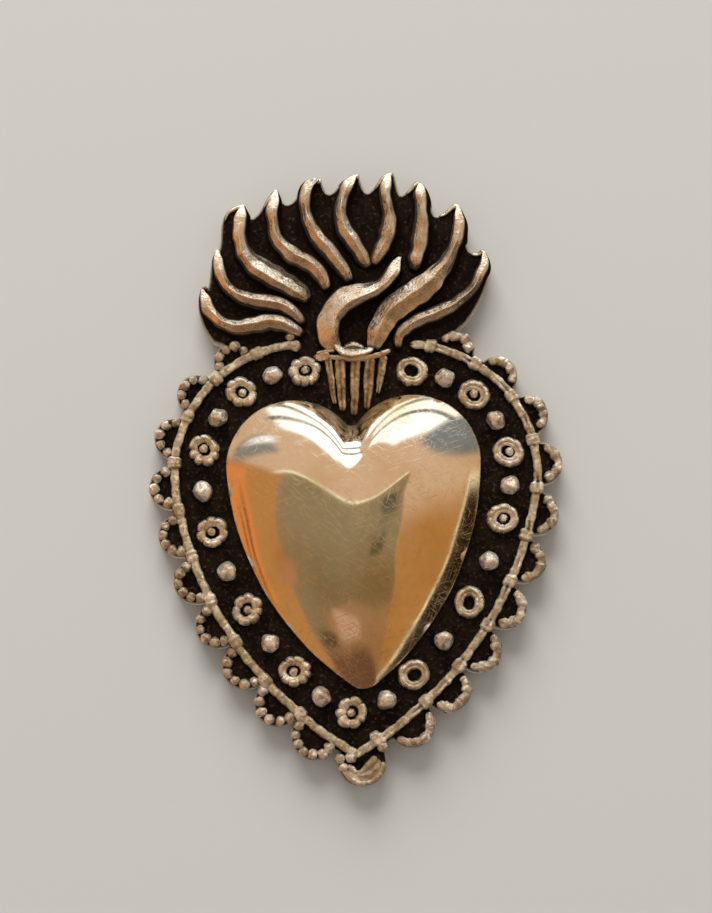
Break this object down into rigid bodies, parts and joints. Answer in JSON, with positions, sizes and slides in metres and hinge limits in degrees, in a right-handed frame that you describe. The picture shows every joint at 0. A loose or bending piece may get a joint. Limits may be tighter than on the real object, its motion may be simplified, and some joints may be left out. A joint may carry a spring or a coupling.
{
  "type": "milagro charm",
  "caption": "Silver sacred-heart charm: a puffed heart on a scalloped plate, ringed by a border of flower rings and dots, with a cup of flames above and a folding bail behind to hang it by.",
  "frame": {"origin": "centre of the outline, on the surface that the charm lies on", "axes": "+X to the viewer's right, +Y from the heart's tip to the flames, +Z out of the face"},
  "size_m": [0.0402, 0.0601, 0.007],
  "materials": {
    "oxidised_sheet": "silver sheet blackened brown-black, rubbed bright along its edge",
    "polished_heart": "polished silver with fine scratches and a faint warm tarnish",
    "worn_wire": "oxidised silver wire polished back on top",
    "beaded_wire": "oxidised beaded silver wire polished back on top",
    "worn_rings": "oxidised silver rings polished back on top",
    "worn_granules": "silver shot, satin on top and dark at the foot",
    "worn_flames": "silver ridges, bright on the crest and blackened in the valleys",
    "bail_wire": "plain drawn silver wire and strap"
  },
  "bodies": {
    "charm": {"back_plate": "oxidised_sheet", "bail_strap": "bail_wire", "bead_granules": "worn_granules", "collar_lip": "worn_flames", "flame_01": "worn_flames", "flame_02": "worn_flames", "flame_03": "worn_flames", "flame_04": "worn_flames", "flame_05": "worn_flames", "flame_06": "worn_flames", "flame_07": "worn_flames", "flame_08": "worn_flames", "flame_09": "worn_flames", "flame_10": "worn_flames", "flame_11": "worn_flames", "fluted_collar": "worn_flames", "heart_dome": "polished_heart", "rim_wire_left": "worn_wire", "rim_wire_right": "worn_wire", "rosette_01": "worn_rings", "rosette_02": "worn_rings", "rosette_03": "worn_rings", "rosette_04": "worn_rings", "rosette_05": "worn_rings", "rosette_06": "worn_rings", "rosette_07": "worn_rings", "rosette_08": "worn_rings", "rosette_09": "worn_rings", "rosette_10": "worn_rings", "rosette_11": "worn_rings", "rosette_12": "worn_rings", "rosette_13": "worn_rings", "rosette_granules": "worn_granules", "scallop_01": "beaded_wire", "scallop_02": "beaded_wire", "scallop_03": "beaded_wire", "scallop_04": "beaded_wire", "scallop_05": "beaded_wire", "scallop_06": "beaded_wire", "scallop_07": "beaded_wire", "scallop_08": "beaded_wire", "scallop_09": "beaded_wire", "scallop_10": "beaded_wire", "scallop_11": "beaded_wire", "scallop_12": "beaded_wire", "scallop_13": "beaded_wire", "scallop_14": "beaded_wire", "scallop_15": "beaded_wire", "scallop_16": "beaded_wire", "scallop_17": "beaded_wire", "scallop_18": "beaded_wire", "scallop_19": "beaded_wire", "scallop_20": "beaded_wire", "scallop_21": "beaded_wire"},
    "bail": {"bail_ring": "bail_wire"}
  },
  "joints": [
    {"name": "bail_swing", "type": "hinge", "parent": "charm", "child": "bail", "pos_m": [0, 0.022, 0.0007], "axis": [1, 0, 0], "range_deg": [0, 150]}
  ]
}
